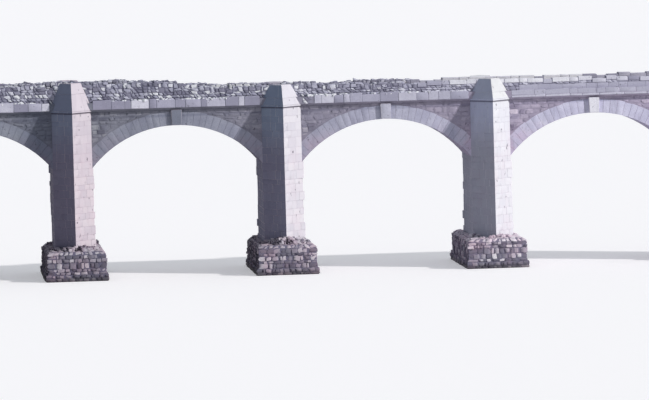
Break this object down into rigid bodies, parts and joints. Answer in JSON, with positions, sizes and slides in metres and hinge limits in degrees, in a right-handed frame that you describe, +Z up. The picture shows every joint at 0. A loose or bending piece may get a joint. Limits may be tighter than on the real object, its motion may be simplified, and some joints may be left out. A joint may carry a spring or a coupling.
{
  "type": "stone arch bridge",
  "caption": "Long narrow stone bridge with low segmental arches on tall slender piers, pointed cutwaters with sloping caps, string course and rubble parapets.",
  "frame": {"origin": "centre of the foot of the middle pier's plinth, at the waterline", "axes": "+X along the bridge, +Y across it away from the viewed face, +Z up"},
  "size_m": [33.4, 6.18, 6.98],
  "materials": {
    "plinth_rubble": "rough",
    "parapet_rubble": "rough",
    "pale_ashlar": "tooled, weathered",
    "spandrel_rubble": "rough",
    "string_stone": "weathered",
    "dressed_stone": "weathered",
    "fill": "loose rubble",
    "road": "packed earth and gravel"
  },
  "bodies": {
    "root": {"pier_plinth_1": "plinth_rubble", "pier_plinth_2": "plinth_rubble", "pier_plinth_3": "plinth_rubble", "left_abutment_plinth": "plinth_rubble", "right_abutment_plinth": "plinth_rubble", "pier_shaft_1": "dressed_stone", "pier_shaft_2": "dressed_stone", "pier_shaft_3": "dressed_stone", "left_abutment": "dressed_stone", "right_abutment": "dressed_stone", "front_cutwater_1": "pale_ashlar", "front_cutwater_2": "pale_ashlar", "front_cutwater_3": "pale_ashlar", "back_cutwater_1": "pale_ashlar", "back_cutwater_2": "pale_ashlar", "back_cutwater_3": "pale_ashlar", "front_cap_1": "pale_ashlar", "front_cap_2": "pale_ashlar", "front_cap_3": "pale_ashlar", "back_cap_1": "pale_ashlar", "back_cap_2": "pale_ashlar", "back_cap_3": "pale_ashlar", "arch_barrel_1": "dressed_stone", "arch_barrel_2": "dressed_stone", "arch_barrel_3": "dressed_stone", "arch_barrel_4": "dressed_stone", "keystones_1": "pale_ashlar", "keystones_2": "pale_ashlar", "keystones_3": "pale_ashlar", "keystones_4": "pale_ashlar", "spandrel_walls_1": "spandrel_rubble", "spandrel_walls_2": "spandrel_rubble", "spandrel_walls_3": "spandrel_rubble", "spandrel_walls_4": "spandrel_rubble", "spandrel_walls_5": "spandrel_rubble", "haunch_fill_1": "fill", "haunch_fill_2": "fill", "haunch_fill_3": "fill", "haunch_fill_4": "fill", "haunch_fill_5": "fill", "front_string_course": "string_stone", "back_string_course": "string_stone", "front_parapet": "parapet_rubble", "back_parapet": "parapet_rubble", "roadway": "road"}
  },
  "joints": []
}
